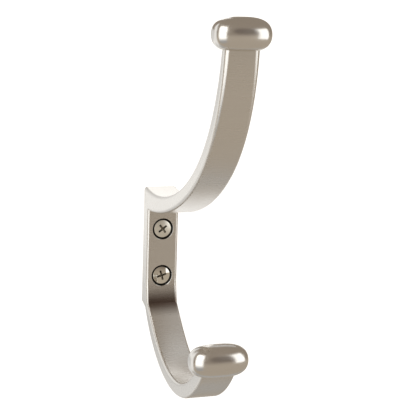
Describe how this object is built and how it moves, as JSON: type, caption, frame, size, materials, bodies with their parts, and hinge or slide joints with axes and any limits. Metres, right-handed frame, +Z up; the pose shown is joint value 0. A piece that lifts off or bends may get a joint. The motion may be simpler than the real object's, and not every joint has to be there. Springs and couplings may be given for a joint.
{
  "type": "double coat hook",
  "caption": "Satin nickel double coat hook: flat wall plate, long upper prong and J-shaped lower prong, each ending in a pill-shaped knob.",
  "frame": {"origin": "on the flat wall face, half way between the two mounting screws", "axes": "+Y into the wall, +Z up, +X along the width of the strip; the hook stands out towards -Y"},
  "size_m": [0.0264, 0.1211, 0.1715],
  "materials": {
    "satin_nickel": "satin nickel, fine grain across the strip",
    "knob_nickel": "satin nickel, finely polished",
    "screw_nickel": "bright nickel",
    "steel": "plain steel"
  },
  "bodies": {
    "root": {"back_plate": "satin_nickel", "upper_arm": "satin_nickel", "lower_arm": "satin_nickel", "upper_knob": "knob_nickel", "lower_knob": "knob_nickel", "upper_mounting_screw": "screw_nickel", "lower_mounting_screw": "screw_nickel", "arm_screw_left": "steel", "arm_screw_right": "steel", "dowel_left": "steel", "dowel_right": "steel", "upper_knob_pin": "steel", "lower_knob_pin": "steel"}
  },
  "joints": []
}
